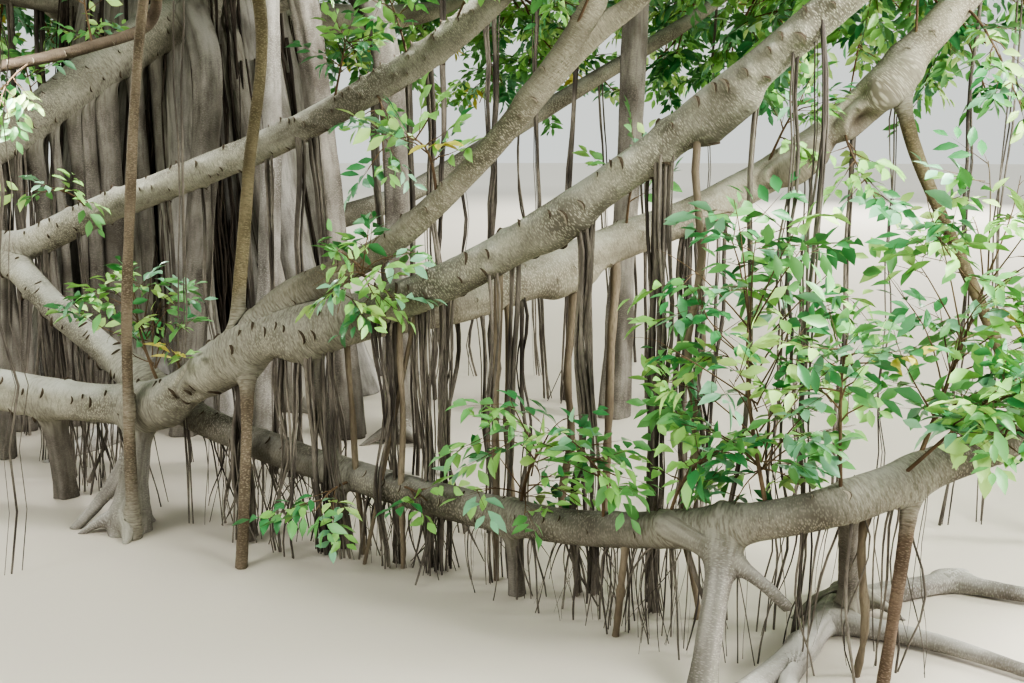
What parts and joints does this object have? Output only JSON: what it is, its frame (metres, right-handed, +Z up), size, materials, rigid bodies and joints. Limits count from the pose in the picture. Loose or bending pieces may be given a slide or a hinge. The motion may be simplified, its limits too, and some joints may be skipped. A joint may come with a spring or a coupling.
{
  "type": "banyan fig tree",
  "caption": "Broad fig tree with a trunk of fused stems, long low boughs resting on prop roots and pillars, and a wide leafy crown.",
  "frame": {"origin": "centre of the flat cut under the trunk, at ground level", "axes": "+Z up the trunk; +X towards the tips of the long low boughs; -Y towards the side that the picture shows"},
  "size_m": [11.708, 11.3556, 7.2761],
  "materials": {
    "bark": "grey-tan bark with fine pale lenticels and crescent scars",
    "pale_bark": "pale, finely speckled bark of prop roots in the light",
    "root_bark": "brown-grey bark of pillars and aerial roots",
    "foliage": "glossy pointed leaves in sprays on thin brown twigs"
  },
  "bodies": {
    "root": {"trunk": "bark", "left_bough": "bark", "long_bough": "bark", "low_bough_root": "bark", "low_bough": "bark", "twin_bough": "bark", "rising_bough": "bark", "upper_bough": "bark", "knee_bough": "bark", "thin_left_bough": "bark", "front_bough": "bark", "right_bough": "bark", "far_right_bough": "bark", "back_right_bough": "bark", "back_bough": "bark", "back_left_bough": "bark", "left_high_bough": "bark", "leader_back": "bark", "leader_left": "bark", "prop_front": "pale_bark", "prop_light": "pale_bark", "pillar_bright": "pale_bark", "ground_runner": "pale_bark", "prop_left_near": "root_bark", "prop_left_far": "root_bark", "prop_fork": "root_bark", "prop_slant": "root_bark", "prop_lean": "root_bark", "prop_brown": "root_bark", "prop_short": "root_bark", "knee_prop": "root_bark", "pillar_left": "root_bark", "pillar_slant": "root_bark", "pillar_right": "root_bark", "pillar_far": "root_bark", "pillar_back": "root_bark", "pillar_left_high": "root_bark", "knot_root": "root_bark", "slim_stem_left": "root_bark", "slim_stem_mid": "root_bark", "foliage_twin": "foliage", "foliage_long": "foliage", "foliage_rising": "foliage", "foliage_front": "foliage", "foliage_knee": "foliage", "foliage_left": "foliage", "foliage_back_left": "foliage", "foliage_back": "foliage", "foliage_back_right": "foliage", "foliage_far_right": "foliage", "foliage_right": "foliage", "foliage_top_front": "foliage", "foliage_top_back": "foliage", "foliage_top_left": "foliage", "foliage_low_right": "foliage", "shoots_left": "foliage", "shoots_main": "foliage", "shoots_right": "foliage", "bough_spray": "foliage", "left_spray": "foliage"}
  },
  "joints": []
}
